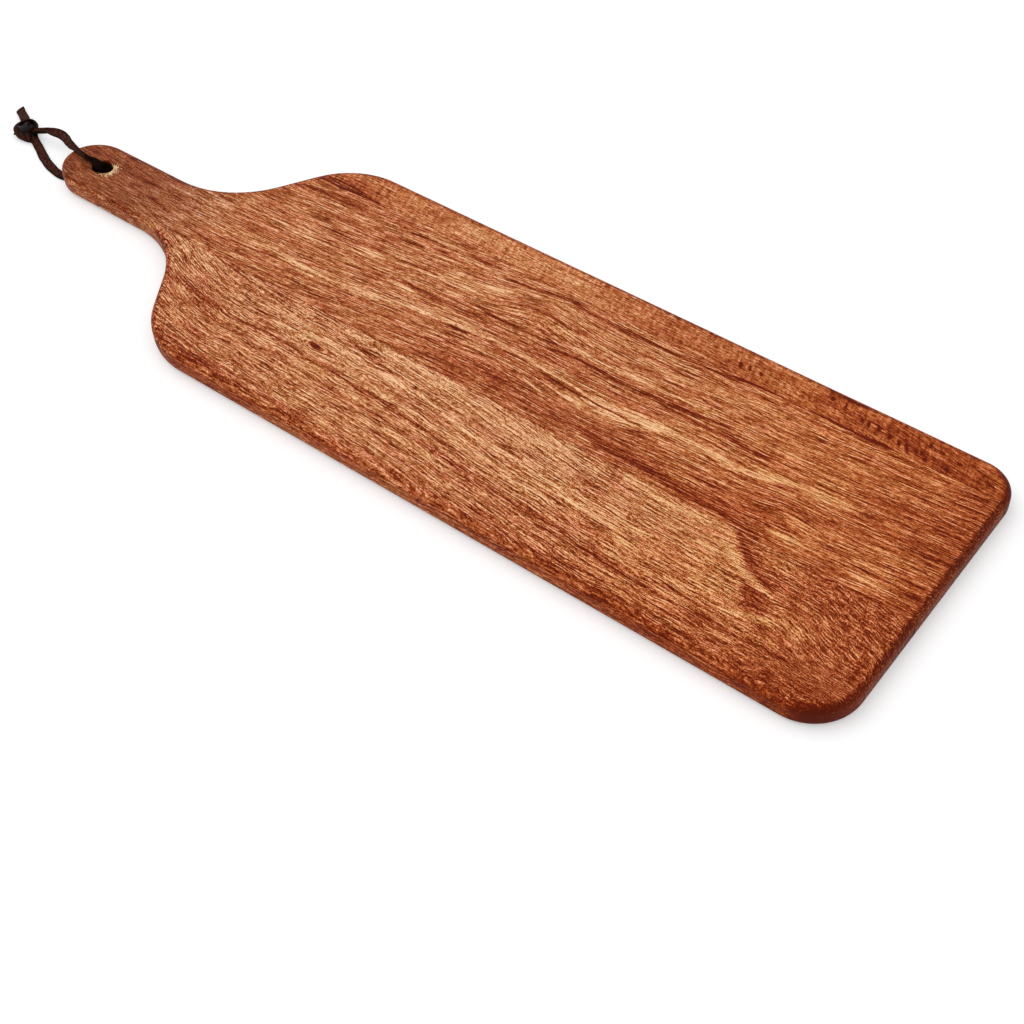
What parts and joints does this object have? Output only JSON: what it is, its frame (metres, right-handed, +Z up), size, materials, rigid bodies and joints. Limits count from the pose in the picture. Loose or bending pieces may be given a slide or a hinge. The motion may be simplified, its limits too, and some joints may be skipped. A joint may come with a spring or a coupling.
{
  "type": "paddle charcuterie board",
  "caption": "Long paddle-shaped serving board of rounded hardwood staves glued edge to edge, with a flat leather hanging thong knotted through its handle.",
  "frame": {"origin": "on the underside of the board, under the middle of its length and width", "axes": "+X along the board from the handle to the blade's end, +Y across it, +Z up out of the serving face"},
  "size_m": [0.6741, 0.186, 0.0154],
  "materials": {
    "oiled_hardwood": "oiled, satin",
    "suede_leather": "matt suede lace"
  },
  "bodies": {
    "board": {"far_stave": "oiled_hardwood", "middle_stave": "oiled_hardwood", "near_stave": "oiled_hardwood"},
    "thong": {"thong_upper_leg": "suede_leather", "thong_lower_leg": "suede_leather", "thong_knot": "suede_leather", "thong_tail": "suede_leather"}
  },
  "joints": [
    {"name": "thong_swing", "type": "hinge", "parent": "board", "child": "thong", "pos_m": [-0.2715, 0, 0.0065], "axis": [0, 0, 1], "range_deg": [-90, 90]}
  ]
}
